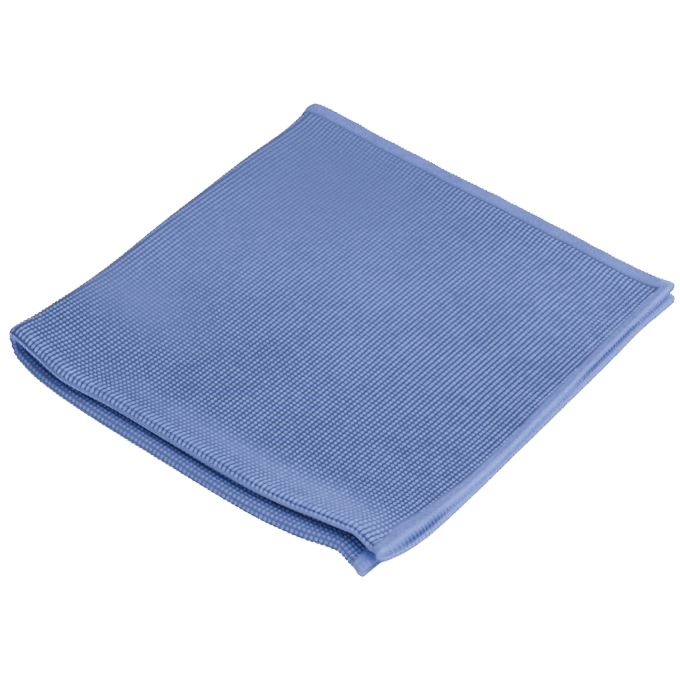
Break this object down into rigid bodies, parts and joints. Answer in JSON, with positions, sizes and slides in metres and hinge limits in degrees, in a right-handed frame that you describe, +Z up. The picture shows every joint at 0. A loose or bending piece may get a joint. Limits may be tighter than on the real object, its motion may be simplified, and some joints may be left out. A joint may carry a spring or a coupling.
{
  "type": "microfibre cloth folded in quarters",
  "caption": "Square knitted microfibre cleaning cloth with plain hems, folded in half twice and lying flat as a soft stack of layers.",
  "frame": {"origin": "under the middle of the folded stack, on the surface that it lies on", "axes": "+Z up out of the stack, +X from the side with the wrapped second fold to the open hems, +Y from the side with the two rolls of the first fold to the open hems"},
  "size_m": [0.2008, 0.202, 0.0173],
  "materials": {
    "knit": "matt looped knit in periwinkle blue, raised beads in close ribs, plain smooth hems"
  },
  "bodies": {
    "root": {"microfibre_cloth": "knit"}
  },
  "joints": []
}
